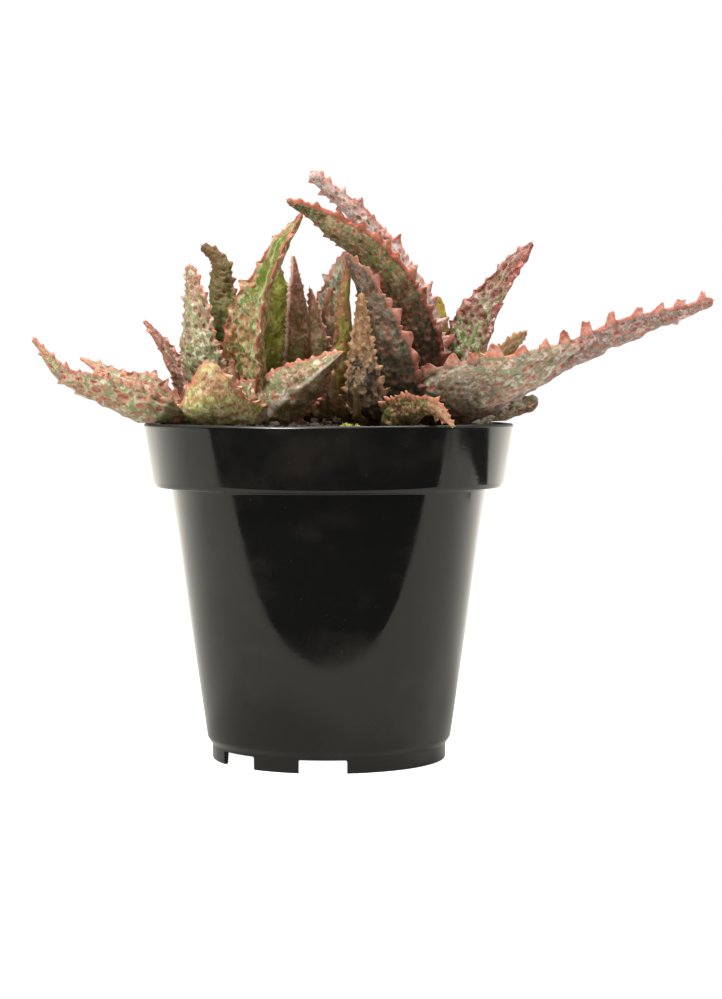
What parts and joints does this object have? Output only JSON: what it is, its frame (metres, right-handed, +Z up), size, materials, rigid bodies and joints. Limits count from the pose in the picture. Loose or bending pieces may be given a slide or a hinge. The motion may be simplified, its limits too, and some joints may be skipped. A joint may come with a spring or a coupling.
{
  "type": "potted aloe",
  "caption": "Clump of small toothed, warty aloe rosettes with long tapering leaves in a tapered round nursery pot filled with soil, resting flat on its foot ring.",
  "frame": {"origin": "middle of the underside of the pot's central pad, level with its foot ring", "axes": "+Z is up along the pot's axis, +X runs along the widest spread of the leaves, and -Y faces the usual viewer"},
  "size_m": [0.2005, 0.1217, 0.1762],
  "materials": {
    "pot_plastic": "glossy black moulded plastic",
    "soil": "coarse damp potting mix",
    "stem": "dull fibrous stem",
    "leaf_green": "waxy green succulent skin",
    "leaf_blushed": "waxy succulent skin blushed red-brown",
    "leaf_dry": "dry tan leaf skin"
  },
  "bodies": {
    "root": {"back_leaf_1": "leaf_blushed", "back_leaf_2": "leaf_green", "back_leaf_3": "leaf_green", "back_leaf_4": "leaf_blushed", "back_leaf_5": "leaf_green", "back_stem": "stem", "edge_leaf_1": "leaf_green", "edge_leaf_2": "leaf_green", "edge_leaf_3": "leaf_blushed", "edge_leaf_4": "leaf_green", "edge_stem": "stem", "front_leaf_1": "leaf_dry", "front_leaf_2": "leaf_green", "front_leaf_3": "leaf_dry", "front_leaf_4": "leaf_dry", "front_stem": "stem", "left_leaf_1": "leaf_green", "left_leaf_2": "leaf_green", "left_leaf_3": "leaf_green", "left_leaf_4": "leaf_green", "left_leaf_5": "leaf_green", "left_leaf_6": "leaf_green", "left_leaf_7": "leaf_blushed", "left_stem": "stem", "middle_leaf_1": "leaf_blushed", "middle_leaf_2": "leaf_green", "middle_leaf_3": "leaf_blushed", "middle_leaf_4": "leaf_blushed", "middle_leaf_5": "leaf_green", "middle_leaf_6": "leaf_green", "middle_leaf_7": "leaf_green", "middle_leaf_8": "leaf_green", "middle_leaf_9": "leaf_blushed", "middle_stem": "stem", "pot": "pot_plastic", "pup_leaf_1": "leaf_blushed", "pup_leaf_2": "leaf_green", "pup_leaf_3": "leaf_green", "pup_stem": "stem", "right_leaf_1": "leaf_blushed", "right_leaf_10": "leaf_green", "right_leaf_2": "leaf_blushed", "right_leaf_3": "leaf_green", "right_leaf_4": "leaf_green", "right_leaf_5": "leaf_blushed", "right_leaf_6": "leaf_blushed", "right_leaf_7": "leaf_green", "right_leaf_8": "leaf_dry", "right_leaf_9": "leaf_green", "right_stem": "stem", "soil": "soil"}
  },
  "joints": []
}
